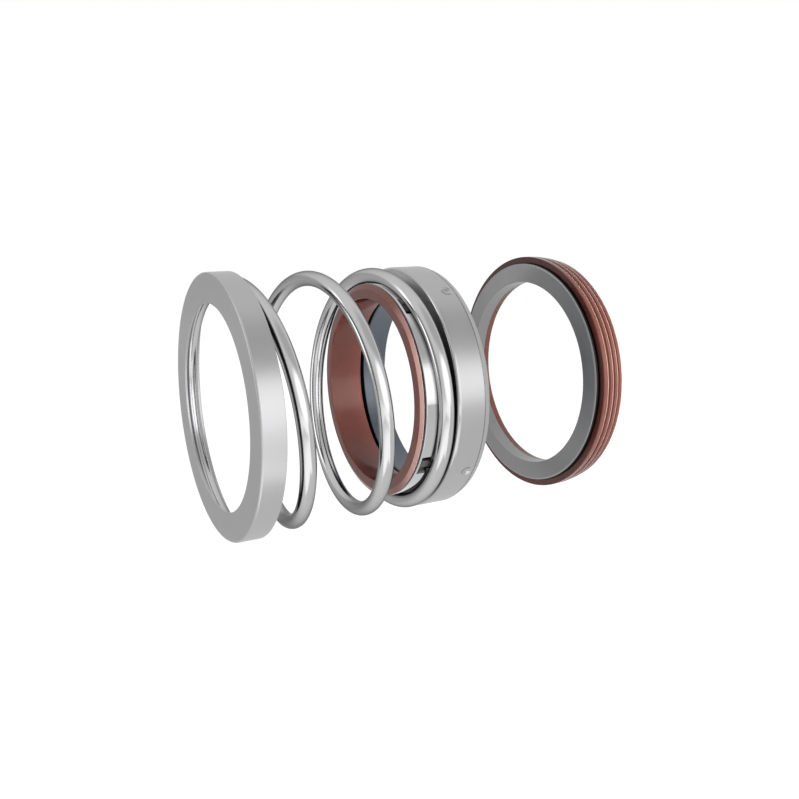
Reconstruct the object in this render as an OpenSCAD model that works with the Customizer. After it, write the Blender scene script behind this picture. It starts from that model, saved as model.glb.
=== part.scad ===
// Single-spring rubber bellows seal for a rotating shaft, shown with its
// stationary seat drawn off along the shaft.
// The shaft runs along X. The origin is on the shaft's centre line, at the
// lapped face of the mating ring, and every rotating piece lies at -X.

/* [Shaft] */
// Diameter of the shaft that the bellows grips
shaft_d = 75; // [50:0.5:110]
// How much smaller the bellows' bore is than the shaft, on the radius
bellows_squeeze = 0.3; // [0.1:0.05:0.6]
// Clearance of the primary ring round the shaft, on the radius
ring_gap = 1.0; // [0.5:0.1:2]
// Clearance of the mating ring round the shaft, on the radius
seat_gap = 2.7; // [1:0.1:4]
// Clearance of the spring holder round the shaft, on the radius
holder_gap = 1.5; // [0.5:0.1:2.5]

/* [Fits] */
// Clearance between pieces that are pressed or bonded together
snug = 0.05; // [0.02:0.01:0.1]
// Clearance between pieces that slide on each other
run_gap = 0.25; // [0.15:0.05:0.4]
// Distance from the primary ring to the mating ring as the seal is shown
face_gap = 49.8; // [5:0.1:80]

/* [Primary ring] */
// Overall length of the primary ring
ring_len = 10.7; // [9:0.1:14]
// Radial thickness of the primary ring's body
ring_wall = 9.2; // [8.5:0.1:12]
// Length of the narrower nose that carries the lapped face
nose_len = 3.9; // [3.6:0.1:5]
// Radial width of the nose
nose_wall = 6.3; // [4:0.1:7]

/* [Retainer] */
// Thickness of the pressed sheet
sheet = 1.1; // [0.8:0.1:1.4]
// Length of the retainer's shell, from its shoulder to its lip
shell_len = 14.2; // [13:0.1:18]
// Distance that the ring's nose stands out of the shell's lip
nose_proud = 1.5; // [0.5:0.1:2]
// Length of the turned-in lip of the shell
lip_len = 2.7; // [1.5:0.1:3]
// How far the lip is turned in, on the radius
lip_drop = 0.9; // [0.4:0.1:1.1]
// Length of the narrow neck outside the shoulder
neck_len = 4.6; // [3.5:0.1:8]
// Outer radius of the bend between shoulder and shell
shoulder_bend = 2.2; // [1.6:0.1:3]
// Distance of the dents from the nose face
dent_x = 7.2; // [6.6:0.1:8]
// Depth of the dents
dent_depth = 1.0; // [0.6:0.1:1.2]
// Radius of the punch that forms the dents
dent_r = 3.1; // [2:0.1:3.6]

/* [Drive lugs] */
// Number of lugs, slots and dents round the seal
drive_count = 4; // [2:1:6]
// Angle of the first lug from the top, towards -Y
drive_angle = 31.7; // [0:0.1:60]
// Width of the slots in the drive band
slot_w = 9.0; // [6:0.1:12]
// Clearance of a lug in its slot, on each side
slot_gap = 0.8; // [0.3:0.1:1.2]
// How far the lugs reach beyond the neck
lug_len = 3.6; // [2.5:0.1:4]

/* [Drive band] */
// Width of the drive band along the shaft
band_w = 4.7; // [4.3:0.1:7]
// Thickness of the drive band
band_wall = 1.4; // [0.8:0.1:1.6]
// Gap between the band and the retainer's neck
band_gap = 0.7; // [0.6:0.1:1.5]
// Width of the strip that closes each slot
slot_strip = 0.9; // [0.6:0.1:1]

/* [Bellows] */
// Thickness of the tail between the shaft and the drive band
tail_wall = 4.4; // [3.8:0.1:6]
// How far the tail stands out of the drive band
tail_proud = 2.2; // [1.6:0.1:3]
// Height of the tail's end lip over the band's seat
tail_lip = 1.5; // [1:0.1:1.8]
// Height of the chamfer on the outside of the tail's end
tail_bevel = 2.2; // [0.8:0.1:2.6]
// Length of that chamfer along the shaft
tail_bevel_len = 1.1; // [0.3:0.1:1.2]
// Chamfer at the mouth of the bore
mouth_bevel = 0.3; // [0.2:0.1:1.4]
// Thickness of the folding web between tail and head
web_t = 1.75; // [1.4:0.05:2]
// Radial thickness of the head that holds the primary ring
head_wall = 3.0; // [2.4:0.1:4]

/* [Spring] */
// Diameter of the spring wire
wire_d = 5.9; // [4:0.1:8]
// Clearance between the coil and the neck inside it, on the radius
coil_gap = 0.25; // [0.2:0.05:1.2]
// Distance between the end turns, from wire centre to wire centre
spring_len = 69.3; // [55:0.1:90]
// Number of active turns between the closed end turns
active_turns = 2.352; // [2:0.001:3.5]
// Share by which the pitch is above its mean at the holder, and below it at the head
pitch_fall = 0.17; // [0:0.01:0.35]
// Angle where the coil leaves the holder, before the top
lift_angle = 50; // [0:1:180]
// Length over which the coil bends from a closed turn into its pitch
closing_ease = 1.2; // [0.8:0.1:2]

/* [Spring holder] */
// Thickness of the holder's sheet
holder_t = 1.0; // [0.8:0.1:2]
// Length of the holder's rim, with its end plate
rim_len = 9.0; // [7:0.1:16]
// Outer radius of the bend between plate and rim
rim_bend = 1.5; // [1.3:0.1:2.4]
// Clearance between the coil and the rim, on the radius
rim_gap = 0.1; // [0.1:0.05:0.8]
// Chamfer on the edges of the holder's hole
hole_bevel = 0.2; // [0.1:0.05:0.3]

/* [Mating ring] */
// Length of the mating ring
seat_len = 6.0; // [5:0.1:12]
// Radial thickness of the mating ring
seat_wall = 8.2; // [6:0.1:11]
// Chamfer on the outer edge of the lapped face
seat_bevel = 0.8; // [0.3:0.1:1.2]

/* [Seat boot] */
// Radial thickness of the boot outside the mating ring
boot_wall = 2.65; // [2.3:0.05:5]
// Distance that the mating ring stands out of the boot
seat_proud = 1.7; // [1:0.1:2.5]
// Length of the boot along the shaft
boot_len = 10.7; // [10:0.1:16]
// Thickness of the lip behind the mating ring
boot_lip = 2.95; // [1.5:0.05:4]
// Clearance of that lip outside the mating ring's bore, on the radius
lip_gap = 0.3; // [0.1:0.1:1]
// Length of the first rib, which seals in the housing
first_rib = 2.5; // [2:0.1:3]
// Depth of the grooves between the ribs
groove_depth = 0.9; // [0.5:0.1:1.4]
// Width of each groove
groove_w = 1.0; // [0.8:0.1:1.4]
// Number of ribs
rib_count = 4; // [2:1:5]
// How much the last rib is lower than the first, on the radius
rib_taper = 1.2; // [0:0.1:1.6]

/* [Hidden] */
$fn = 160;
STEEL = [0.70, 0.71, 0.72];
WIRE = [0.80, 0.81, 0.82];
RUBBER = [0.42, 0.25, 0.22];
RING_GREY = [0.42, 0.45, 0.48];
SEAT_GREY = [0.55, 0.55, 0.55];
BEND_STEPS = 6;
EPS = 0.01;

// Radii, stacked outwards from the shaft
shaft_r = shaft_d / 2;
bore_r = shaft_r - bellows_squeeze;
tail_r = bore_r + tail_wall;
band_in_r = tail_r + snug;
band_r = band_in_r + band_wall;
neck_in_r = tail_r + run_gap;
neck_r = neck_in_r + sheet;
ring_bore_r = shaft_r + ring_gap;
ring_r = ring_bore_r + ring_wall;
shell_in_r = ring_r + run_gap;
shell_r = shell_in_r + sheet;
wire_r = wire_d / 2;
coil_r = max(neck_r, band_r) + coil_gap + wire_r;
rim_in_r = coil_r + wire_r + rim_gap;
rim_r = rim_in_r + holder_t;
hole_r = shaft_r + holder_gap;
seat_bore_r = shaft_r + seat_gap;
seat_r = seat_bore_r + seat_wall;
boot_in_r = seat_r + snug;
boot_r = boot_in_r + boot_wall;

// Stations along X, counted from the nose face of the primary ring
lip_x = -nose_proud;
crease_x = lip_x - lip_len;
shoulder_x = lip_x - shell_len;
neck_x = shoulder_x - neck_len;
band_x = neck_x - band_gap;
band_end_x = band_x - band_w;
tail_x = band_end_x - tail_proud;
ring_back_x = -ring_len;
web_x = shoulder_x + sheet + snug;
coil_end_x = shoulder_x - wire_r - snug;
coil_start_x = coil_end_x - spring_len;
plate_x = coil_start_x - wire_r - snug;
holder_x = plate_x - holder_t;
pitch = spring_len / active_turns;

// Points of an arc about c, from angle a to angle b
function arc(c, r, a, b, steps = BEND_STEPS) =
    [for (i = [0 : steps]) c + r * [cos(a + (b - a) * i / steps), sin(a + (b - a) * i / steps)]];

// A section drawn as [x, radius] and turned round the shaft
module turned(points) {
    rotate([0, 90, 0])
        rotate_extrude()
            polygon([for (p = points) [p[1], p[0]]]);
}

// Children copied to each drive position, drawn at the top of the seal
module at_drives() {
    for (i = [0 : drive_count - 1])
        rotate([drive_angle + 360 / drive_count * i, 0, 0])
            children();
}

// Everything that turns with the shaft, moved back from the mating ring
module head() {
    translate([-face_gap, 0, 0]) children();
}

// Pressed cup that carries the first turn of the spring
module spring_holder() {
    inner_bend = rim_bend - holder_t;
    rim_end_x = holder_x + rim_len;
    color(STEEL) head() turned(concat(
        [[holder_x + hole_bevel, hole_r], [holder_x, hole_r + hole_bevel]],
        arc([holder_x + rim_bend, rim_r - rim_bend], rim_bend, 180, 90),
        [[rim_end_x, rim_r], [rim_end_x, rim_in_r]],
        arc([plate_x + inner_bend, rim_in_r - inner_bend], inner_bend, 90, 180),
        [[plate_x, hole_r + hole_bevel], [plate_x - hole_bevel, hole_r]]
    ));
}

// Single round-wire coil with closed ends.
// The wire is one sweep: its centre climbs between the end turns, a little
// less with each turn, and eases into them. It winds from the top towards -Y.
SIDES = 16;
STEP = 7.2;
// A closed end stops where the wire beside it has climbed by its own diameter
clear_turn = (wire_d + 2 * snug) / pitch * 360;
start_t = clear_turn / (1 + pitch_fall) - lift_angle - 360;
end_t = active_turns * 360 - lift_angle + 360 - clear_turn / (1 - pitch_fall);
RINGS = ceil((end_t - start_t) / STEP);

function eased(v) = v > 30 * closing_ease ? v : closing_ease * ln(1 + exp(v / closing_ease));
function climb(t) =
    let (share = (t + lift_angle) / 360 / active_turns)
    spring_len * share * (1 + pitch_fall * (1 - share));
function coil_x(t) =
    coil_end_x - eased(coil_end_x - coil_start_x - eased(climb(t)));
function coil_point(t, a) =
    let (r = coil_r + wire_r * cos(a))
    [coil_x(t) + wire_r * sin(a), -r * sin(t), r * cos(t)];

module spring() {
    points = [for (i = [0 : RINGS], k = [0 : SIDES - 1])
        coil_point(start_t + (end_t - start_t) * i / RINGS, 360 * k / SIDES)];
    sides = [for (i = [0 : RINGS - 1], k = [0 : SIDES - 1])
        let (n = (k + 1) % SIDES)
        [i * SIDES + k, (i + 1) * SIDES + k, (i + 1) * SIDES + n, i * SIDES + n]];
    first = [for (k = [0 : SIDES - 1]) k];
    last = [for (k = [SIDES - 1 : -1 : 0]) RINGS * SIDES + k];
    color(WIRE) head() polyhedron(points, concat([first], sides, [last]), convexity = 8);
}

// Moulded bellows: a tail that grips the shaft, a thin folding web and a
// head that wraps the back of the primary ring
module bellows() {
    lip_r = tail_r + tail_lip;
    seat_x = band_end_x - snug;
    web_end_x = web_x + web_t;
    head_r = shell_in_r - snug;
    head_in_r = head_r - head_wall;
    head_end_x = ring_back_x - snug;
    corner = web_t / 2;
    fold_r = neck_in_r + sheet;
    color(RUBBER) head() turned(concat(
        [[tail_x + mouth_bevel, bore_r], [tail_x, bore_r + mouth_bevel]],
        [[tail_x, lip_r - tail_bevel], [tail_x + tail_bevel_len, lip_r]],
        [[seat_x, lip_r], [seat_x, tail_r], [band_x + snug, tail_r]],
        [[neck_x, tail_r - run_gap], [web_x - web_t, tail_r - run_gap]],
        arc([web_x - web_t, fold_r + corner], fold_r + corner - tail_r + run_gap, -90, -35),
        [[web_x, fold_r + web_t]],
        arc([web_x + web_t, head_r - web_t], web_t, 180, 90),
        [[head_end_x, head_r], [head_end_x, head_in_r]],
        arc([web_end_x + corner, head_in_r - corner], corner, 90, 180),
        arc([web_end_x - corner, bore_r + corner], corner, 0, -90)
    ));
}

// Thin band that clamps the tail on the shaft and is turned by the lugs
module drive_band() {
    color(STEEL) head() difference() {
        turned([[band_end_x, band_in_r], [band_end_x, band_r], [band_x, band_r],
            [band_x, band_in_r]]);
        at_drives()
            translate([band_end_x + slot_strip, -slot_w / 2, 0])
                cube([band_w, slot_w, band_r + 1]);
    }
}

// Pressed retainer: neck with lugs, shoulder for the spring, shell with a
// turned-in lip and dents that hold the primary ring from turning
module retainer() {
    inner_bend = shoulder_bend - sheet;
    lug_w = slot_w - 2 * slot_gap;
    punch_r = shell_r + dent_r - dent_depth;
    color(STEEL) head() difference() {
        union() {
            turned(concat(
                [[neck_x, neck_in_r], [neck_x, neck_r]],
                arc([shoulder_x - sheet / 2, neck_r + sheet / 2], sheet / 2, -90, 0),
                arc([shoulder_x + shoulder_bend, shell_r - shoulder_bend], shoulder_bend, 180, 90),
                [[crease_x, shell_r]],
                arc([lip_x - 0.3, shell_r - lip_drop - 0.3], 0.3, 90, 0),
                [[lip_x, shell_in_r - lip_drop], [crease_x, shell_in_r]],
                arc([shoulder_x + shoulder_bend, shell_r - shoulder_bend], inner_bend, 90, 180),
                arc([shoulder_x - sheet / 2, neck_r + sheet / 2], sheet * 1.5, 0, -90)
            ));
            // Lugs, cut from a sleeve of the neck's own section
            intersection() {
                turned([[neck_x - lug_len, neck_in_r], [neck_x - lug_len, neck_r],
                    [neck_x + EPS, neck_r], [neck_x + EPS, neck_in_r]]);
                at_drives()
                    translate([neck_x - lug_len - 1, -lug_w / 2, 0])
                        cube([lug_len + 2, lug_w, neck_r + 1]);
            }
            // The inside of each dent, kept off the outside of the shell
            intersection() {
                turned([[shoulder_x + shoulder_bend, ring_bore_r], [shoulder_x + shoulder_bend,
                    shell_r - sheet / 2], [crease_x, shell_r - sheet / 2], [crease_x, ring_bore_r]]);
                at_drives()
                    translate([-dent_x, 0, punch_r])
                        sphere(dent_r + sheet);
            }
        }
        at_drives()
            translate([-dent_x, 0, punch_r])
                sphere(dent_r);
    }
}

// Hard ring with the lapped nose, grooved where the retainer's dents hold it
module primary_ring() {
    nose_r = ring_bore_r + nose_wall;
    dent_in_r = shell_in_r - dent_depth;
    reach = dent_r + sheet;
    dent_half_w = sqrt(reach * reach - pow(reach - dent_depth, 2));
    groove_half_w = dent_half_w + run_gap;
    edge = 0.4;
    color(RING_GREY) head() difference() {
        turned([
            [ring_back_x, ring_bore_r + edge], [ring_back_x, ring_r - edge], [ring_back_x + edge, ring_r],
            [-nose_len - edge, ring_r], [-nose_len, ring_r - edge], [-nose_len, nose_r],
            [-edge, nose_r], [0, nose_r - edge], [0, ring_bore_r], [ring_back_x + edge, ring_bore_r]
        ]);
        at_drives()
            translate([ring_back_x - 1, -groove_half_w, dent_in_r - run_gap])
                cube([ring_len + 2, 2 * groove_half_w, ring_r]);
    }
}

// Lapped stationary ring
module mating_ring() {
    edge = 0.3;
    color(SEAT_GREY) turned([
        [0, seat_bore_r], [0, seat_r - seat_bevel], [seat_bevel, seat_r],
        [seat_len - edge, seat_r], [seat_len, seat_r - edge], [seat_len, seat_bore_r]
    ]);
}

// Radius of rib number i, which falls off towards the back
function rib_r(i) = boot_r - rib_taper * pow(i / (rib_count - 1), 2);

// Ribbed rubber boot that seals and holds the mating ring in its housing
module seat_boot() {
    lip_start_x = seat_len + snug;
    lip_end_x = lip_start_x + boot_lip;
    back_x = seat_proud + boot_len;
    rib_w = (boot_len - first_rib - groove_w * (rib_count - 1)) / (rib_count - 1);
    lead_in = 0.5;
    lip_r = seat_bore_r + lip_gap;
    rim_in_r = boot_in_r - boot_wall / 2;
    slope = 0.25;
    ribs = [for (i = [0 : rib_count - 1])
        let (
            start = i == 0 ? seat_proud : seat_proud + first_rib + groove_w * i + rib_w * (i - 1),
            end = i == 0 ? start + first_rib : start + rib_w,
            root = boot_r - groove_depth - rib_taper * pow(i / (rib_count - 1), 2)
        )
        each concat(
            i == 0 ? [[start, rib_r(i) - lead_in], [start + lead_in, rib_r(i)]]
                : [[start - slope, root], [start + slope, rib_r(i)]],
            i == rib_count - 1 ? [[end - lead_in, rib_r(i)], [end, rib_r(i) - lead_in]]
                : [[end - slope, rib_r(i)], [end + slope, root]]
        )];
    color(RUBBER) turned(concat(
        [[seat_proud, boot_in_r]],
        ribs,
        [[back_x, rim_in_r], [lip_end_x, rim_in_r - slope], [lip_end_x, lip_r]],
        [[lip_start_x, lip_r], [lip_start_x, boot_in_r]]
    ));
}

spring_holder();
spring();
bellows();
drive_band();
retainer();
primary_ring();
mating_ring();
seat_boot();
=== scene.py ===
# %% [markdown]
# A rubber bellows seal for a 75 mm pump shaft. The head turns with the shaft:
# a pressed holder, one coil spring, a rubber bellows under a slotted drive
# band, a pressed retainer and a hard ring with a lapped nose. The seat stands
# still in its housing: a lapped ring in a ribbed rubber boot. All is turned
# round one line, the shaft, which lies along X.
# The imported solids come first, because they fix every size and place.

# %% Load the frame
import bpy
import math
import numpy as np
from mathutils import Matrix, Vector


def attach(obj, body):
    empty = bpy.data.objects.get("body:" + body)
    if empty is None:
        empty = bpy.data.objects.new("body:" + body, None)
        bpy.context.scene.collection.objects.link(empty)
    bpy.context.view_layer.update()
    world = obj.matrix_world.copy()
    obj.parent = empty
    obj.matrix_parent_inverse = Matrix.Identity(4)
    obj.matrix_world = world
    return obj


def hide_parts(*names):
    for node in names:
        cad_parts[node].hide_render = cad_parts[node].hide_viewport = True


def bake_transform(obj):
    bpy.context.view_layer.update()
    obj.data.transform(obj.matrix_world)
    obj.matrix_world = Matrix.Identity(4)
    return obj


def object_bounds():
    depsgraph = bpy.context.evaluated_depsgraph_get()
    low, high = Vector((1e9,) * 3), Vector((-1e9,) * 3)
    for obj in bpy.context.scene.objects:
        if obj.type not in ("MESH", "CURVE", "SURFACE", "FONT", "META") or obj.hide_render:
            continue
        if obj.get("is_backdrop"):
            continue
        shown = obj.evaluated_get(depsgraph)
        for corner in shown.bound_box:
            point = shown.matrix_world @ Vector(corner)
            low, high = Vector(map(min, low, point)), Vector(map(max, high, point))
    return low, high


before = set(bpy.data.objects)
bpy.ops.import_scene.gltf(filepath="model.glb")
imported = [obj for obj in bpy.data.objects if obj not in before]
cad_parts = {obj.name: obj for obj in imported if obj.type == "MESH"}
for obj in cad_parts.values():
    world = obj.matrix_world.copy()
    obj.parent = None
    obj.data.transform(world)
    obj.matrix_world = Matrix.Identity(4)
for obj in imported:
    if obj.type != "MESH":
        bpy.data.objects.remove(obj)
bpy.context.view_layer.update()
mm = 0.001
print("nodes", sorted(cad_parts))

# %% [markdown]
# The camera stands where the picture was taken from. It could be placed by
# eye, but a circle that is seen from the side draws an ellipse which tells both
# its tilt and its distance. So the place and the 39.65 mm lens were worked out
# from the ellipses that the rings draw in the picture.

# %% Camera
def new_object(name, data):
    made = bpy.data.objects.new(name, data)
    bpy.context.scene.collection.objects.link(made)
    return made


camera = new_object("camera", bpy.data.cameras.new("camera"))
camera.data.lens = 39.65
camera.data.sensor_width = 36
right = (0.87623, -0.48189, 0.0)
up = (0.10861, 0.19748, 0.97427)
ahead = (0.46949, 0.85369, -0.22537)
stand = (-0.23467, -0.31165, 0.07697)
rows = [(right[i], up[i], -ahead[i], stand[i]) for i in range(3)]
camera.matrix_world = Matrix(rows + [(0, 0, 0, 1)])
bpy.context.scene.camera = camera
bpy.context.scene.view_settings.view_transform = "Standard"
print("lens", round(camera.data.lens, 2), "mm, standing at", stand)

# %% [markdown]
# Every material is a small graph of nodes. It could be wired by hand in the
# editor, but in a script the same few steps come back for every finish. So one
# function adds a node with its settings and its links, and another turns the
# hex colours that a paint chart or a picture gives into the linear light that
# the shader works in.

# %% Helpers for materials
def linear(code, factor=1.0):
    """Linear RGBA of an sRGB hex colour, made darker or lighter by a factor."""
    parts = [int(code[i:i + 2], 16) / 255 for i in (1, 3, 5)]
    light = [c / 12.92 if c <= 0.04045 else ((c + 0.055) / 1.055) ** 2.4 for c in parts]
    return [min(1.0, c * factor) for c in light] + [1.0]


def add(tree, kind, *values, **named):
    """Adds a node. Values fill its inputs from the first on, and _6 is its input 6. A name with
    a capital is an input, and one in small letters is a setting. A node that is given as a
    value stands for its first output."""
    node = tree.nodes.new(kind)
    inputs = dict(enumerate(values))
    for name, value in named.items():
        if name[0] == "_":
            inputs[int(name[1:])] = value
        elif name[0].isupper():
            inputs[name.replace("_", " ")] = value
        else:
            setattr(node, name, value)
    for place, value in inputs.items():
        if isinstance(value, bpy.types.Node):
            value = value.outputs[0]
        if isinstance(value, bpy.types.NodeSocket):
            tree.links.new(value, node.inputs[place])
        else:
            node.inputs[place].default_value = value
    return node


def new_material(name):
    made = bpy.data.materials.new(name)
    made.use_nodes = True
    made.node_tree.nodes.clear()
    return made, made.node_tree


print("the grey #808080 is", round(linear("#808080")[0], 3), "in linear light")

# %% [markdown]
# All the metal of a seal is turned, drawn or pressed round the shaft, and its
# faint tool lines run that way. A picture of brushed metal would need a seam
# and would turn the wrong way on the flat faces. The lines here are noise that
# is read at (x, radius), so they go round a rim and a flat face alike.
# Two more things make such metal look real. A narrow gap between metal parts
# gets little light, so there its colour is painted nearly black as painted
# shade, and the Ambient Occlusion node finds the gap. An uneven skin also loses
# light where it is seen at a flat angle, which is what Specular Tint sets on a
# metal.

# %% Turned and pressed metal
# A radius past the whole seal, in millimetres, for zones that have no outer limit.
past_all = 60


def round_the_shaft(tree, where):
    """Returns x along the shaft, y towards the back, and the radius."""
    split = add(tree, "ShaderNodeSeparateXYZ", where)
    across = add(tree, "ShaderNodeCombineXYZ", split.outputs["Y"], split.outputs["Z"])
    radius = add(tree, "ShaderNodeVectorMath", across, operation="LENGTH")
    return split.outputs["X"], split.outputs["Y"], radius.outputs["Value"]


def ring_zone(tree, x, radius, left, right, inner, outer):
    """1 where left < x < right and inner < radius < outer, in millimetres, and 0 elsewhere."""
    inside = add(tree, "ShaderNodeMath", x, left * mm, operation="GREATER_THAN")
    tests = [("LESS_THAN", x, right), ("GREATER_THAN", radius, inner), ("LESS_THAN", radius, outer)]
    for test, value, limit in tests:
        passed = add(tree, "ShaderNodeMath", value, limit * mm, operation=test)
        inside = add(tree, "ShaderNodeMath", inside, passed, operation="MULTIPLY")
    return inside


def turned_metal(name, colour, roughness, spread, grain, depth, brushed=0.0, rim=1.0, crevice=2.0,
                 painted=None, burnished=None):
    """Grain is the distance between the tool lines, depth their height and crevice the width of
    a gap whose colour is painted black as painted shade, all in millimetres. Rim is the
    brightness at a flat angle. Painted is a ring zone with its colour of painted shade, and
    burnished is a ring zone that shines."""
    cloud_size, burnished_roughness = 9, 0.1
    made, tree = new_material(name)
    where = add(tree, "ShaderNodeTexCoord").outputs["Object"]
    x, _, radius = round_the_shaft(tree, where)
    round_and_along = add(tree, "ShaderNodeCombineXYZ", x, radius)
    lines = add(tree, "ShaderNodeTexNoise", Vector=round_and_along, Scale=1 / (grain * mm), Detail=3.0)
    cloud = add(tree, "ShaderNodeTexNoise", Vector=where, Scale=1 / (cloud_size * mm), Detail=2.0)
    mottle = add(tree, "ShaderNodeMath", lines, cloud, operation="MULTIPLY")
    rough = add(tree, "ShaderNodeMapRange", mottle, From_Min=0.1, From_Max=0.4,
                To_Min=roughness - spread, To_Max=roughness + spread)
    base = add(tree, "ShaderNodeMix", cloud, data_type="RGBA",
               _6=linear(colour, 0.97), _7=linear(colour, 1.03)).outputs[2]
    # The painted zone is painted shade: a darker colour where shade falls.
    if painted:
        *limits, painted_light_shade = painted
        painted_shade_mask = ring_zone(tree, x, radius, *limits)
        base = add(tree, "ShaderNodeMix", painted_shade_mask, data_type="RGBA", _6=base, _7=linear(painted_light_shade)).outputs[2]
    if burnished:
        rubbed = ring_zone(tree, x, radius, *burnished)
        rough = add(tree, "ShaderNodeMix", rubbed, data_type="FLOAT", _2=rough, _3=burnished_roughness)
    # Painted shade: the colour turns nearly black in narrow gaps between parts.
    openness = add(tree, "ShaderNodeAmbientOcclusion", samples=8, Distance=crevice * mm).outputs["AO"]
    crevice_painted_shade = add(tree, "ShaderNodeMapRange", openness, From_Min=0.25, From_Max=0.75, To_Min=0.03)
    base = add(tree, "ShaderNodeMix", crevice_painted_shade, data_type="RGBA", _6=(0, 0, 0, 1), _7=base).outputs[2]
    bump = add(tree, "ShaderNodeBump", Height=lines, Strength=1.0, Distance=depth * mm)
    tool_way = add(tree, "ShaderNodeTangent", direction_type="RADIAL", axis="X")
    shader = add(tree, "ShaderNodeBsdfPrincipled", Base_Color=base, Metallic=1.0, Roughness=rough,
                 Specular_Tint=(rim, rim, rim, 1), Anisotropic=brushed, Normal=bump, Tangent=tool_way)
    add(tree, "ShaderNodeOutputMaterial", Surface=shader)
    print(name, len(tree.nodes), "nodes")
    return made


# Rolled sheet, pressed and tumbled: a satin skin that mirrors the room softly, so
# the light fades over several millimetres. Its real lines are about 0.05 mm apart.
# They are drawn 0.4 mm apart so that they show.
satin = {"roughness": 0.32, "spread": 0.02, "grain": 0.4, "depth": 0.00015, "rim": 0.85}
satin_steel = turned_metal("pressed_satin_stainless", "#AEAEAF", crevice=3.5, **satin)

# %% [markdown]
# Seven of the eight pieces are turned shapes. They could be cylinders cut by
# Booleans and rounded by a Bevel modifier, which leaves uneven meshes. Instead
# each one is drawn as half a section, a closed line of (x, radius) points with
# a small rounding at each corner, and swept round the shaft. A real edge is
# never sharp, and that rounding is what catches a line of light. A guard point
# beside each rounding keeps the flats flat under smooth shading.

# %% Sections and sweeps
even = np.arange(0, 360, 1.5)


def softened(corners, steps=4):
    """Rounds a closed section. Its corners are (x, radius, rounding) in millimetres."""
    nearly_straight = math.radians(88)
    most_of_side, guard = 0.48, 0.04
    line = []
    for i, corner in enumerate(corners):
        before, here, after = (np.array(corners[(i + k) % len(corners)][:2], float) for k in (-1, 0, 1))
        sides = [before - here, after - here]
        lengths = [np.linalg.norm(side) for side in sides]
        back, on = (side / length for side, length in zip(sides, lengths))
        half = math.acos(max(-1, min(1, float(back @ on)))) / 2
        if half > nearly_straight:
            line.append(here)
            continue
        reach = min(corner[2] / math.tan(half), most_of_side * min(lengths))
        size = reach * math.tan(half)
        middle = here + (back + on) / np.linalg.norm(back + on) * size / math.sin(half)
        first, last = here + back * reach - middle, here + on * reach - middle
        opening = math.pi - 2 * half
        needed = 2.6 * reach + 0.1
        if lengths[0] > needed:
            line.append(here + back * (reach + guard))
        for k in range(steps + 1):
            shares = math.sin((1 - k / steps) * opening), math.sin(k / steps * opening)
            line.append(middle + (shares[0] * first + shares[1] * last) / math.sin(opening))
        if lengths[1] > needed:
            line.append(here + on * (reach + guard))
    line = np.array(line)
    x, r = line.T
    runs_clockwise = np.sum(x * np.roll(r, -1) - r * np.roll(x, -1)) < 0
    return line[::-1] if runs_clockwise else line


def smooth(mesh, sharp_from):
    mesh.shade_smooth()
    mesh.set_sharp_from_angle(angle=math.radians(sharp_from))


def turned(name, section, material, shift=0.0, angles=even, change=None):
    """Sweeps a section round the shaft. change(section, angle) may move its points on the way."""
    rings = np.array([change(section.copy(), a) if change else section for a in angles])
    t = np.radians(angles)[:, None]
    x, r = rings[:, :, 0] + shift, rings[:, :, 1]
    points = np.stack([x, -np.sin(t) * r, np.cos(t) * r], 2).reshape(-1, 3) * mm
    sides, count = rings.shape[:2]
    faces = []
    for here, after in zip(range(sides), list(range(1, sides)) + [0]):
        for k, m in zip(range(count), list(range(1, count)) + [0]):
            faces.append((here * count + k, here * count + m, after * count + m, after * count + k))
    mesh = bpy.data.meshes.new(name)
    mesh.from_pydata([tuple(p) for p in points], [], faces)
    mesh.materials.append(material)
    smooth(mesh, 35)
    print(name, len(faces), "faces")
    return new_object(name, mesh)


print("a square corner becomes", len(softened([(0, 0, 1), (9, 0, 1), (9, 9, 1), (0, 9, 1)])) // 4, "points")

# %% [markdown]
# The sizes are stacked outwards from the shaft and along it, as a seal maker
# dimensions them, so each piece clears the next by a stated gap. Lengths along
# the shaft are counted from the lapped nose of the primary ring, towards -X,
# and the whole head stands 49.8 mm in front of the seat.

# %% Sizes in millimetres
to_head = -49.8
shaft = 37.5
sheet = 1.1
rubber_gap, slide_gap, rim_gap = 0.05, 0.25, 0.1

bore = shaft - 0.3
tail = bore + 4.4
band_in = tail + rubber_gap
band_out = band_in + 1.4
neck_in = tail + slide_gap
neck_out = neck_in + sheet
ring_bore = shaft + 1.0
ring_out = ring_bore + 9.2
shell_in = ring_out + slide_gap
shell_out = shell_in + sheet
wire = 2.95
coil = band_out + slide_gap + wire
holder_sheet = 1.0
rim_in = coil + wire + rim_gap
rim_out = rim_in + holder_sheet

ring_back = -10.7
lip, crease, shoulder = -1.5, -4.2, -15.7
neck = shoulder - 4.6
band_right = neck - 0.7
band_left = neck - 5.4
tail_end = band_left - 2.2
spring_length = 69.3
coil_right = shoulder - wire - rubber_gap
coil_left = coil_right - spring_length
plate = coil_left - wire - rubber_gap
drives = 31.7 + 90 * np.arange(4)
print("mm across:", {"shell": round(2 * shell_out, 2), "coil": 2 * coil, "holder": round(2 * rim_out, 2)})

# %% [markdown]
# The holder is a shallow cup pressed from 1 mm sheet: a flat ring and a short
# rim, with the bend radius that the press tool leaves. The coil's first turn
# lies in it. A disc and a tube could be joined and bevelled, but one section
# gives both sides of the bend their own radius.

# %% Spring holder
holder_bore, rim_length = 39.0, 8
holder = turned("holder_cup", softened([
    (plate - holder_sheet, holder_bore, 0.2), (plate - holder_sheet, rim_out, 0.9),
    (plate + rim_length, rim_out, 0.25), (plate + rim_length, rim_in, 0.25),
    (plate, rim_in, 0.5), (plate, holder_bore, 0.2)], 6), satin_steel, to_head)
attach(holder, "holder")
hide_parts("spring_holder")
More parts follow.
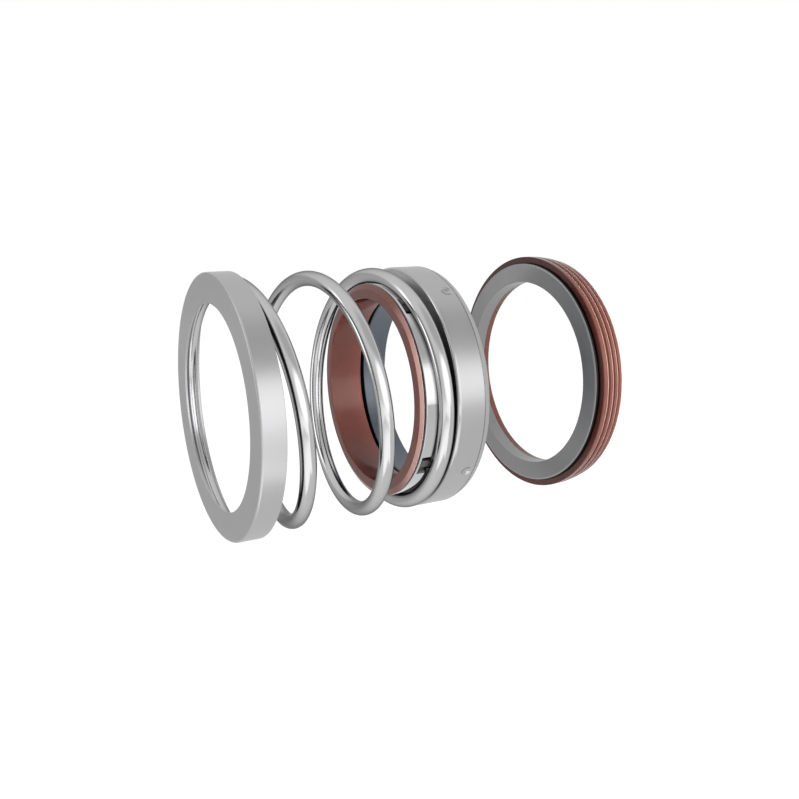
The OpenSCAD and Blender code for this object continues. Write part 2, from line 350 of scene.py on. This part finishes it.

# %% [markdown]
# The spring is one round wire that climbs a little less with each turn and
# lies flat at both ends. Points could be listed by hand, but the whole path is
# one rule of the angle t, which suits Geometry Nodes. The ease at the ends is a
# smooth corner, s * ln(1 + exp(v / s)), which is 0 well below v = 0 and v well
# above it. A circle is swept along the path, and each ring keeps its share of
# the stroke as an attribute, which a squeeze could use to keep the wire round.

# %% Path of the spring
# Turns that climb, the share by which the climb falls off, the degrees by which it starts
# early, and the rise at which one turn is clear of the next.
turns = 2.352
fall = 0.17
lift = 50.0
clear_rise = 6.0
closed = clear_rise / spring_length * turns * 360
first_turn = closed / (1 + fall) - lift - 360
last_turn = turns * 360 - lift + 360 - closed / (1 - fall)
sizes = {"Coil Radius": coil * mm, "Wire Radius": wire * mm, "Left End": (coil_left + to_head) * mm,
         "Length": spring_length * mm, "Turns": turns, "Fall": fall, "Lift": math.radians(lift),
         "Ease": 1.2 * mm, "Start": math.radians(first_turn), "End": math.radians(last_turn)}

coil_tree = bpy.data.node_groups.new("closed_end_coil", "GeometryNodeTree")
for title in sizes:
    coil_tree.interface.new_socket(title, in_out="INPUT", socket_type="NodeSocketFloat")
coil_tree.interface.new_socket("Material", in_out="INPUT", socket_type="NodeSocketMaterial")
coil_tree.interface.new_socket("Geometry", in_out="OUTPUT", socket_type="NodeSocketGeometry")
given = add(coil_tree, "NodeGroupInput").outputs
straight = add(coil_tree, "GeometryNodeCurvePrimitiveLine")
fine = add(coil_tree, "GeometryNodeResampleCurve", Curve=straight, Count=560)
share = add(coil_tree, "GeometryNodeSplineParameter").outputs["Factor"]
turn = add(coil_tree, "ShaderNodeMapRange", share, To_Min=given["Start"], To_Max=given["End"])
print("wire from", round(first_turn), "to", round(last_turn), "degrees")

# %% Climb of the spring
def eased(value):
    """The smooth corner: 0 well below 0, and the value itself well above it."""
    part = add(coil_tree, "ShaderNodeMath", value, given["Ease"], operation="DIVIDE")
    grown = add(coil_tree, "ShaderNodeMath", part, operation="EXPONENT")
    more = add(coil_tree, "ShaderNodeMath", grown, 1.0, operation="ADD")
    log = add(coil_tree, "ShaderNodeMath", more, math.e, operation="LOGARITHM")
    return add(coil_tree, "ShaderNodeMath", log, given["Ease"], operation="MULTIPLY")


from_start = add(coil_tree, "ShaderNodeMath", turn, given["Lift"], operation="ADD")
turns_made = add(coil_tree, "ShaderNodeMath", from_start, 2 * math.pi, operation="DIVIDE")
done = add(coil_tree, "ShaderNodeMath", turns_made, given["Turns"], operation="DIVIDE")
left_over = add(coil_tree, "ShaderNodeMath", 1.0, done, operation="SUBTRACT")
extra = add(coil_tree, "ShaderNodeMath", given["Fall"], left_over, operation="MULTIPLY")
quicker = add(coil_tree, "ShaderNodeMath", 1.0, extra, operation="ADD")
risen = add(coil_tree, "ShaderNodeMath", done, quicker, operation="MULTIPLY")
unbent = add(coil_tree, "ShaderNodeMath", risen, given["Length"], operation="MULTIPLY")
climb = eased(unbent)
to_go = add(coil_tree, "ShaderNodeMath", given["Length"], climb, operation="SUBTRACT")
along = add(coil_tree, "ShaderNodeMath", given["Length"], eased(to_go), operation="SUBTRACT")
stroke = add(coil_tree, "ShaderNodeMath", along, given["Length"], operation="DIVIDE")
print("climb worked out by", len(coil_tree.nodes), "nodes")

# %% Wire of the spring
sine = add(coil_tree, "ShaderNodeMath", turn, operation="SINE")
cosine = add(coil_tree, "ShaderNodeMath", turn, operation="COSINE")
place_x = add(coil_tree, "ShaderNodeMath", along, given["Left End"], operation="ADD")
aside = add(coil_tree, "ShaderNodeMath", sine, given["Coil Radius"], operation="MULTIPLY")
place_y = add(coil_tree, "ShaderNodeMath", aside, -1.0, operation="MULTIPLY")
place_z = add(coil_tree, "ShaderNodeMath", cosine, given["Coil Radius"], operation="MULTIPLY")
spot = add(coil_tree, "ShaderNodeCombineXYZ", place_x, place_y, place_z)
path = add(coil_tree, "GeometryNodeSetPosition", Geometry=fine, Position=spot)
kept = add(coil_tree, "GeometryNodeStoreNamedAttribute", data_type="FLOAT", domain="POINT",
           Geometry=path, Name="stroke", Value=stroke)
round_wire = add(coil_tree, "GeometryNodeCurvePrimitiveCircle", Resolution=28, Radius=given["Wire Radius"])
swept = add(coil_tree, "GeometryNodeCurveToMesh", Curve=kept, Profile_Curve=round_wire, Fill_Caps=True)
real = add(coil_tree, "GeometryNodeRealizeInstances", Geometry=swept)
dressed = add(coil_tree, "GeometryNodeSetMaterial", Geometry=real, Material=given["Material"])
add(coil_tree, "NodeGroupOutput", Geometry=dressed)


def grow(name, tree, values):
    """Runs a Geometry Nodes tree and returns its result as a plain mesh object."""
    seed = new_object(name + "_seed", bpy.data.meshes.new(name))
    modifier = seed.modifiers.new("grow", "NODES")
    modifier.node_group = tree
    for socket in tree.interface.items_tree:
        if socket.in_out == "INPUT" and socket.name in values:
            modifier[socket.identifier] = values[socket.name]
    seen = seed.evaluated_get(bpy.context.evaluated_depsgraph_get())
    mesh = bpy.data.meshes.new_from_object(seen)
    bpy.data.objects.remove(seed)
    mesh.name = name
    smooth(mesh, 40)
    return new_object(name, mesh)


# Wire that was drawn through a die and polished: it mirrors the room more sharply than
# the sheet does, and its dark rim draws the two lines along each turn. What is left of the
# die's marks is drawn 0.3 mm apart, coarser than it is, so that it shows.
wire_steel = turned_metal("drawn_stainless_wire", "#BDBDBE", roughness=0.15, spread=0.01, grain=0.3,
                          depth=0.00005, rim=0.3)
spring = grow("coil_spring", coil_tree, {**sizes, "Material": wire_steel})
print("spring", len(spring.data.vertices), "points,", round((last_turn - first_turn) / 360, 2), "turns")

# %% [markdown]
# When the spring is squeezed its left end stays with the holder and its right
# end goes with the head. A blend by x alone would flatten the wire, while the
# kept stroke would move every ring of the wire as one. Here the strokes are only
# read back, and the spring's place is baked into its mesh.

# %% Strokes of the spring
strokes = np.zeros(len(spring.data.vertices), np.float32)
spring.data.attributes["stroke"].data.foreach_get("value", strokes)
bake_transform(spring)
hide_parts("spring")
print("stroke from", round(float(strokes.min()), 3), "to", round(float(strokes.max()), 3))

# %% [markdown]
# The rubber is a brown fluorocarbon, moulded in a steel tool. Its skin is
# smooth and slightly clouded, with a soft shine where it bends. It is uneven
# by a few thousandths of a millimetre every half millimetre, which only just
# breaks up its highlights. Some rings of it are painted paler, as painted light,
# and some darker, as painted shade. That could be painted by hand, but each
# such place is a ring, so x and the radius say exactly where it is.

# %% Moulded rubber
def moulded_rubber(name, colour, roughness, zones):
    """Zones are (left, right, smallest radius, pitch, colour, one side), in millimetres, and
    their colours are painted light and painted shade. A zone with a pitch comes back along
    the shaft, and one side fades a zone in towards -Y alone, the lit side, as painted light."""
    cloud_size, skin_size, skin_depth, spread = 6, 0.5, 0.003, 0.05
    side_starts, side_full = -20, -38
    made, tree = new_material(name)
    where = add(tree, "ShaderNodeTexCoord").outputs["Object"]
    x, y, radius = round_the_shaft(tree, where)
    cloud = add(tree, "ShaderNodeTexNoise", Vector=where, Scale=1 / (cloud_size * mm), Detail=3.0)
    skin = add(tree, "ShaderNodeTexNoise", Vector=where, Scale=1 / (skin_size * mm), Detail=2.0)
    # Painted light: a smooth fade towards -Y, the side the key lamp lights.
    near = add(tree, "ShaderNodeMapRange", y, interpolation_type="SMOOTHSTEP",
               From_Min=side_starts * mm, From_Max=side_full * mm)
    base = add(tree, "ShaderNodeMix", cloud, data_type="RGBA",
               _6=linear(colour, 0.9), _7=linear(colour, 1.1)).outputs[2]
    for left, right, inner, pitch, painted_light_shade, lit_side_only in zones:
        past = add(tree, "ShaderNodeMath", x, left * mm, operation="SUBTRACT")
        if pitch:
            past = add(tree, "ShaderNodeMath", past, pitch * mm, operation="FLOORED_MODULO")
        inside = ring_zone(tree, past, radius, 0, right - left, inner, past_all)
        if lit_side_only:
            inside = add(tree, "ShaderNodeMath", inside, near, operation="MULTIPLY")
        base = add(tree, "ShaderNodeMix", inside, data_type="RGBA", _6=base, _7=linear(painted_light_shade)).outputs[2]
    rough = add(tree, "ShaderNodeMapRange", cloud, From_Min=0.3, From_Max=0.7,
                To_Min=roughness - spread, To_Max=roughness + spread)
    bump = add(tree, "ShaderNodeBump", Height=skin, Strength=1.0, Distance=skin_depth * mm)
    shader = add(tree, "ShaderNodeBsdfPrincipled", Base_Color=base, IOR=1.5, Specular_IOR_Level=0.45,
                 Roughness=rough, Normal=bump)
    add(tree, "ShaderNodeOutputMaterial", Surface=shader)
    print(name, len(tree.nodes), "nodes")
    return made


# %% [markdown]
# The bellows is one moulding, and its section shows all that it does: a thick
# tail that is squeezed on the shaft, a thin web that folds, and a head that is
# trapped between the retainer and the back of the hard ring. The mouth and the
# outer edge of the tail are chamfered, and those two slopes catch the light.
# It could be sculpted, but as a moulding it is as exact as the metal round it.
# The outer chamfer is painted pale as painted light, most on the lit side
# towards -Y, and the rubber under the band is painted nearly black as painted shade.

# %% Bellows
mouth = 0.3
chamfer_long, chamfer_deep, chamfer_foot = 1.1, 2.2, 1.3
lip_r = tail + 1.5
painted_highlight_end = band_left - 0.95
tail_rubber = moulded_rubber("brown_fluoro_rubber_painted_light_shade", "#8A493C", 0.18, [
    # Painted light: the outer chamfer is painted pale, most towards -Y.
    (tail_end - 1 + to_head, painted_highlight_end + to_head, lip_r - 1.75, 0, "#D3A79E", True),
    # Painted shade: the rubber under the band is painted nearly black.
    (painted_highlight_end + to_head, neck + 1 + to_head, tail - 0.4, 0, "#151112", False)])
web_left = shoulder + sheet + rubber_gap
web_right = web_left + 1.75
sleeve = tail - 0.25
head_right = ring_back - rubber_gap
head_out, head_in = shell_in - rubber_gap, shell_in - rubber_gap - 3
bellows = turned("rubber_bellows", softened([
    (tail_end + mouth, bore, 0.1), (tail_end, bore + mouth, 0.1), (tail_end, lip_r - chamfer_deep, 0.15),
    (tail_end + chamfer_long, lip_r, 0.15), (tail_end + chamfer_foot, lip_r - 0.3, 0.1),
    (tail_end + chamfer_foot, tail, 0.1), (band_right + rubber_gap, tail, 0.05), (neck, sleeve, 0.05),
    (web_left - 0.2, sleeve, 1.2), (web_left, neck_in + 3.0, 1.0), (web_left, head_out, 1.7),
    (head_right, head_out, 0.2), (head_right, head_in, 0.2), (web_right, head_in, 0.8),
    (web_right, bore, 0.87)]), tail_rubber, to_head)
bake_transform(bellows)
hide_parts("bellows")

# %% [markdown]
# Band, retainer and primary ring have features that repeat four times round
# the shaft. Booleans would cut them, but leave thin triangles that shade badly.
# So each stays a sweep whose section changes with the angle: where a slot is
# cut the band is narrower, and where a lug stands out the neck is longer. Two
# angles lie close together at each side wall, so the wall is cut square.

# %% Angles round the four drives
def from_drive(angle):
    """Angle to the nearest drive position, in degrees."""
    return (angle - drives[0] + 45) % 90 - 45


def cut_angles(half_width, reach=0.0, step=None):
    """Even angles, with a close pair at each side of the four cuts, and fine steps within reach."""
    near = [side * half_width + shift for side in (-1, 1) for shift in (-0.01, 0.01)]
    if reach:
        near += list(np.arange(-reach, reach + step / 2, step))
    clear = 0.3
    off = np.abs(from_drive(even))
    rest = even[(np.abs(off - half_width) > clear) & (off > reach + clear)]
    angles = [d + n for d in drives for n in near] + list(rest)
    return sorted(set(np.round(np.mod(angles, 360), 4)))


print("drives at", drives, "degrees")

# %% [markdown]
# The drive band is a strip of the same stainless, with four windows cut open
# towards the retainer. It squeezes the rubber tail on the shaft, and the
# retainer's lugs push in its windows, so the rubber never carries the torque.
# The strip is bright rolled and was not tumbled. It mirrors almost sharply, so
# the edge of a card shows in it as a hard line.

# %% Drive band
bright_strip = turned_metal("rolled_bright_stainless_strip", "#BEBEBF", roughness=0.06, spread=0.01,
                            grain=0.4, depth=0.0001)
slot_width = 9.0
slot_half = math.degrees(math.asin(slot_width / 2 / band_out))
slot_end = band_left + 0.9


def cut_slot(points, angle):
    if abs(from_drive(angle)) < slot_half:
        right_side = points[:, 0] > (band_left + band_right) / 2
        points[right_side, 0] += slot_end - band_right
    return points


band = turned("drive_band_strip", softened([
    (band_left, band_in, 0.1), (band_left, band_out, 0.2), (band_right, band_out, 0.2),
    (band_right, band_in, 0.1)]), bright_strip, to_head, cut_angles(slot_half), cut_slot)
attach(band, "tail")
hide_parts("drive_band")

# %% [markdown]
# The retainer is pressed from one disc: neck, shoulder, shell and a lip rolled
# in to keep the hard ring from falling out. A ball-nosed punch then sinks four
# dents into grooves of that ring. A dent is a cap of the ball with a soft rim,
# sunk in the outside and raised on the inside by the same depth. It could be
# sculpted or displaced by a texture, but the ball's own formula is exact.
# Tumbling makes the sheet satin. The neck and its lugs are painted a dull grey
# as painted shade, and the tools leave the dents and the shell's bend shiny.

# %% Retainer
lug_width, lug_reach = 4.0, 3.6
lug_drop_out, lug_drop_in = 0.85, 0.15
lug_half = math.degrees(math.asin(lug_width / 2 / neck_out))
punch, dent_depth, dent_at, dent_rim = 3.1, 1.0, -7.2, 0.03
dent_reach = math.degrees(3.2 / shell_out)


def press_dents_and_lugs(points, angle):
    off = from_drive(angle)
    if abs(off) < lug_half:
        tip = points[:, 0] < neck + 0.5
        points[tip, 0] -= lug_reach
        outside = points[tip, 1] > (neck_in + neck_out) / 2
        points[tip, 1] -= np.where(outside, lug_drop_out, lug_drop_in)
    if abs(off) < dent_reach + 0.2:
        from_axis = np.hypot(points[:, 0] - dent_at, shell_out * math.radians(off))
        cap = dent_depth - punch + np.sqrt(np.maximum(punch ** 2 - from_axis ** 2, 0))
        sink = dent_rim * np.logaddexp(0, cap / dent_rim)
        sink[(points[:, 1] < shell_in - 0.3) | (from_axis > punch)] = 0
        points[:, 1] -= sink
    return points


# The shell's two long sides get close stops across the dents.
stop_reach, stop_step = 3.3, 0.22
pressing = []
plain = softened([
    (neck, neck_in, 0.15), (neck, neck_out, 0.2), (shoulder, neck_out, 0.6), (shoulder, shell_out, 1.3),
    (crease, shell_out, 0.5), (lip, shell_out - 0.9, 0.4), (lip, shell_in - 0.9, 0.15),
    (crease, shell_in, 0.3), (shoulder + sheet, shell_in, 1.1), (shoulder + sheet, neck_out - 0.4, 1.2),
    (shoulder + sheet - 1.0, neck_in, 0.5)], 6)
for here, after in zip(plain, np.roll(plain, -1, 0)):
    pressing.append(here)
    run = after[0] - here[0]
    if min(here[1], after[1]) > shell_in - 0.1 and abs(run) > 4:
        stops = np.arange(dent_at - stop_reach, dent_at + stop_reach + 0.01, stop_step)
        stops = stops if run > 0 else stops[::-1]
        pressing += [here + (after - here) * (stop - here[0]) / run for stop in stops]

tumbled_steel = turned_metal(
    "tumbled_stainless_pressing", "#AEAEAF", crevice=3.0, **satin,
    # Painted shade: the neck and the lugs are painted a dull grey.
    painted=(neck - 4 + to_head, shoulder + 0.3 + to_head, 0, neck_out + 0.7, "#626263"),
    burnished=(shoulder - 1 + to_head, crease - 0.4 + to_head, shell_in + 0.05, shell_out - 0.05))
retainer = turned("pressed_retainer", np.array(pressing), tumbled_steel, to_head,
                  cut_angles(lug_half, dent_reach, 0.25), press_dents_and_lugs)
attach(retainer, "head")
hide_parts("retainer")

# %% [markdown]
# The primary ring is ground all over from silicon carbide, a hard blue-grey
# ceramic with a dull metallic sheen, and its narrow nose is lapped flat. Four
# shallow grooves in its outside take the dents, so it turns with the retainer
# but can tilt a little and follow the seat. A groove is as wide as the dent's
# inside is at that depth, and is worked out from the ball and the sheet. The
# marks of the grinding wheel are a few hundredths of a millimetre apart. They
# are drawn 0.3 mm apart so that they show, here and on the seat's ring.

# %% Primary ring
ring_carbide = turned_metal("ground_silicon_carbide", "#646A72", roughness=0.34, spread=0.03, grain=0.3,
                            depth=0.0008)
bulge = punch + sheet
bulge_half = math.sqrt(bulge ** 2 - (bulge - dent_depth) ** 2)
groove_half = math.degrees(math.asin((bulge_half + slide_gap) / ring_out))
nose_out, nose_back = ring_bore + 6.3, -3.9


def grind_groove(points, angle):
    if abs(from_drive(angle)) < groove_half:
        points[:, 1] = np.minimum(points[:, 1], shell_in - dent_depth - slide_gap)
    return points


primary = turned("primary_ring_body", softened([
    (ring_back, ring_bore, 0.4), (ring_back, ring_out, 0.4), (nose_back, ring_out, 0.4),
    (nose_back, nose_out, 0.1), (0, nose_out, 0.4), (0, ring_bore, 0.05)]),
    ring_carbide, to_head, cut_angles(groove_half), grind_groove)
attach(primary, "head")
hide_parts("primary_ring")

# %% [markdown]
# The seat stands by itself. Its ring is tungsten carbide, pressed, sintered
# and then lapped on the face and in the bore. Lapping goes round and round, so
# the face has a brushed sheen that fans out from the middle, which the
# shader's Anisotropic makes along the tool's way. The outside is painted
# nearly black, as painted shade and a painted dark reflection.

# %% Mating ring
seat_bore, seat_out, seat_back = 40.2, 48.4, 6
lapped_carbide = turned_metal("lapped_tungsten_carbide", "#8E8E8F", roughness=0.34, spread=0.02,
                              grain=0.3, depth=0.0006, brushed=0.75,
                              # Painted shade: the outside of the ring is painted nearly black.
                              painted=(-1, seat_back + 4, seat_out - 0.3, past_all, "#2C2C2D"))
mating = turned("mating_ring_body", softened([
    (0, seat_bore, 0.05), (0, seat_out, 1.0), (seat_back, seat_out, 0.3),
    (seat_back, seat_bore, 0.1)]), lapped_carbide)
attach(mating, "seat")
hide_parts("mating_ring")

# %% [markdown]
# A rubber boot holds the ring in its housing. Its four ribs are squeezed by
# the housing bore, and they get lower towards the back so that the seat starts
# easily. Four rings could be laid on a sleeve, but the boot is one moulding, so
# a loop writes the ribs into its one section. Its front edge, which gets little
# of the key lamp's light, is painted dark as painted shade, and the ribs' edges
# are painted pale as painted highlights.

# %% Ribbed boot
boot_in, boot_out = seat_out + rubber_gap, seat_out + rubber_gap + 2.65
boot_front, boot_back, back_lip, lip_bore = 1.7, 12.4, 9.0, 40.5
first_rib, rib, groove, rib_height = 2.5, 1.7333, 1.0, 0.9
flank, foot = 0.2, 0.25
rib_edge = boot_front + first_rib
boot_rubber = moulded_rubber("moulded_brown_fluoro_rubber", "#6C4036", 0.2, [
    # Painted shade: the front edge is painted dark.
    (boot_front - 0.7, boot_front + 0.6, boot_in - 0.15, 0, "#602A20", False),
    # Painted highlight: the edge of each rib is painted pale.
    (rib_edge - 0.45, rib_edge, boot_in + 0.45, rib + groove, "#DDB0A6", False)])
outline = [(boot_front, boot_in, 0.1)]
start = boot_front
for i in range(4):
    end = start + (rib if i else first_rib)
    top = boot_out - 1.2 * (i / 3) ** 2
    if i > 0:
        outline.append((start - foot, top - rib_height, 0.25))
    outline.append((start + (flank if i > 0 else 0), top, 0.3))
    outline.append((end - (flank if i < 3 else 0), top, 0.45))
    if i < 3:
        outline.append((end + foot, top - rib_height, 0.25))
    start = end + groove
outline += [(boot_back, boot_in - 1.5, 0.2), (back_lip, boot_in - 1.7, 0.2), (back_lip, lip_bore, 0.2),
            (seat_back + rubber_gap, lip_bore, 0.2), (seat_back + rubber_gap, boot_in, 0.05)]
boot = turned("ribbed_boot", softened(outline), boot_rubber)
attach(boot, "seat")
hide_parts("seat_boot")

# %% [markdown]
# The picture is a plain product shot on white. More light would also turn the
# background white, but it would burn out the metal. So the floor and the room
# are white only where the camera, a mirror or a glass looks at them, which
# Light Path tells, and the floor keeps a faint shadow.

# %% Floor and room
def looked_at(tree):
    """1 for the rays of the camera, of mirrors and of glass, and 0 for plain light."""
    ray = add(tree, "ShaderNodeLightPath").outputs
    seen = add(tree, "ShaderNodeMath", ray["Is Camera Ray"], ray["Is Glossy Ray"], operation="MAXIMUM")
    return add(tree, "ShaderNodeMath", seen, ray["Is Transmission Ray"], operation="MAXIMUM")


floor_half, floor_z = 4, -0.15
around = [(-1, -1), (1, -1), (1, 1), (-1, 1)]
floor_mesh = bpy.data.meshes.new("floor")
floor_mesh.from_pydata([(a * floor_half, b * floor_half, floor_z) for a, b in around], [], [(0, 1, 2, 3)])
floor = new_object("floor", floor_mesh)
floor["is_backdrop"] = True
# White paper. Where nothing shades it, its glow and its matt part add up to white.
paper, tree = new_material("white_paper_floor")
glow = add(tree, "ShaderNodeEmission", Color=(1, 1, 1, 1), Strength=0.93)
matt = add(tree, "ShaderNodeBsdfDiffuse", Color=(0.25, 0.25, 0.25, 1))
white_with_shadow = add(tree, "ShaderNodeAddShader", glow, matt)
plain_paper = add(tree, "ShaderNodeBsdfDiffuse", Color=(0.8, 0.8, 0.8, 1))
shown = add(tree, "ShaderNodeMixShader", looked_at(tree), plain_paper, white_with_shadow)
add(tree, "ShaderNodeOutputMaterial", Surface=shown)
floor_mesh.materials.append(paper)

# Matt skins see a dimmer room than the camera does, so the key lamp can model them.
room = bpy.data.worlds.new("room")
bpy.context.scene.world = room
room.use_nodes = True
tree = room.node_tree
tree.nodes.clear()
dim = add(tree, "ShaderNodeBackground", Color=(1, 1, 1, 1), Strength=0.28)
white = add(tree, "ShaderNodeBackground", Color=(1, 1, 1, 1), Strength=1.0)
shown = add(tree, "ShaderNodeMixShader", looked_at(tree), dim, white)
add(tree, "ShaderNodeOutputWorld", Surface=shown)
print("floor and room made of", len(paper.node_tree.nodes), "and", len(tree.nodes), "nodes")

# %% [markdown]
# Metal shows the room rather than its own colour, so a product photographer
# lights it with cards. A bright one in front makes the light band, bright ones
# on the floor light what leans down, and grey ones overhead, on the left and
# behind turn the upper sides and the end faces darker. A lamp could do this,
# but its reflection has the wrong shape. Only mirrors see the cards here.
# A card fades into the white room, so it leaves no edge. A cut card keeps only
# its left half, and its hard edge draws the line that stands in bright steel.

# %% Cards
middle = (-0.07, 0, 0)


def facing(place, aim=middle):
    """Matrix of something at place that faces aim with its back along +Z."""
    back = np.array(place) - np.array(aim)
    back /= np.linalg.norm(back)
    side = np.cross((0, 0, 1), back)
    side /= np.linalg.norm(side)
    return Matrix(np.column_stack([side, np.cross(back, side), back, place]).tolist() + [(0, 0, 0, 1)])


def lying(place, turn=0.0):
    """Matrix of a card on the floor that looks up, turned by so many degrees. It leans by about
    a millimetre in a metre, which settles what lies on top where two cards overlap."""
    lean, height, angle = 0.001, 1.0, math.radians(turn)
    return facing(place, (place[0] - lean * math.sin(angle), place[1] + lean * math.cos(angle), height))


def card(name, matrix, size, level, full=0.6, cut=False):
    """A card for mirrors only. Its light is level in the middle and 1, the room's white, at its
    edge, and full is the share of the way in at which it reaches its level."""
    half_x, half_y = size[0] / 2, size[1] / 2
    right_edge = 0 if cut else half_x
    mesh = bpy.data.meshes.new(name)
    mesh.from_pydata([(-half_x, -half_y, 0), (right_edge, -half_y, 0), (right_edge, half_y, 0),
                      (-half_x, half_y, 0)], [], [(0, 1, 2, 3)])
    sheet_card = new_object(name, mesh)
    sheet_card.matrix_world = matrix
    made, tree = new_material(name + "_glow")
    where = add(tree, "ShaderNodeTexCoord").outputs["Object"]
    unit = add(tree, "ShaderNodeVectorMath", where, (1 / half_x, 1 / half_y, 0), operation="MULTIPLY")
    cone = add(tree, "ShaderNodeTexGradient", unit, gradient_type="SPHERICAL").outputs["Fac"]
    soft = add(tree, "ShaderNodeMapRange", cone, interpolation_type="SMOOTHSTEP",
               From_Max=full, To_Min=1.0, To_Max=level)
    glow = add(tree, "ShaderNodeEmission", Color=(1, 1, 1, 1), Strength=soft)
    add(tree, "ShaderNodeOutputMaterial", Surface=glow)
    mesh.materials.append(made)
    for kind in ("camera", "diffuse", "transmission", "shadow", "volume_scatter"):
        setattr(sheet_card, "visible_" + kind, False)
    sheet_card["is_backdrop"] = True
    print(name, size, "m at level", level)


# Two cut cards share one edge on the floor, turned 30 degrees from straight across the shaft.
# The floor is bright on its left, and on its right a little darker than the room.
shared_edge, edge_turn = (0.185, -0.65, -0.147), 30.41
card("front_card", facing((0.1, -1.08, 0.28), (0.1, 0, 0.28)), (2.6, 1.35), 2.05, 0.55)
card("front_floor_card", lying(shared_edge, edge_turn), (3.6, 2.6), 1.75, 0.7, cut=True)
card("near_floor_card", lying(shared_edge, edge_turn + 180), (1.2, 1.8), 0.88, 0.7, cut=True)
card("overhead_card", facing((0.3, -0.5, 0.75), (0.3, -0.499, 0)), (2.4, 1.1), 0.7, 0.5)
card("left_card", facing((-1.0, 0.15, 0.1)), (1.3, 0.9), 0.55)
card("left_strip", facing((-0.88, 0.47, 0.05)), (0.36, 1.3), 2.6)
card("back_left_card", facing((-0.63, 1.06, 0.05)), (2.0, 0.9), 0.66, 0.4)
card("back_floor_card", lying((-0.5, 0.55, -0.143), 180), (1.7, 1.2), 0.7, 0.4)
card("holder_floor_card", lying((-0.035, -0.15, -0.1465)), (0.8, 0.7), 1.75, cut=True)

# %% [markdown]
# The key lamp does the reverse of the cards: it lights the matt skins, and
# mirrors don't see it. The metal in the picture shows no coil and no rubber in
# its reflections, so these two are hidden from mirrors too. The other pieces
# stay, because the metal round a crevice is what makes it dark.

# %% Lamp and mirrors
key = new_object("key_lamp", bpy.data.lights.new("key_lamp", "AREA"))
key.data.size = 0.6
key.data.energy = 20
key.matrix_world = facing((0.1, -1.1, 0.4))
for hidden in (key, spring, bellows):
    hidden.visible_glossy = False
print("key lamp", key.data.energy, "W,", round(key.data.size, 2), "m wide")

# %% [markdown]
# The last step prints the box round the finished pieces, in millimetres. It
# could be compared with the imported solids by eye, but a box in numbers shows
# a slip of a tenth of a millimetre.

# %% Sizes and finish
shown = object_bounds()
print("visual box", [round(v * 1000, 2) for c in shown for v in c])
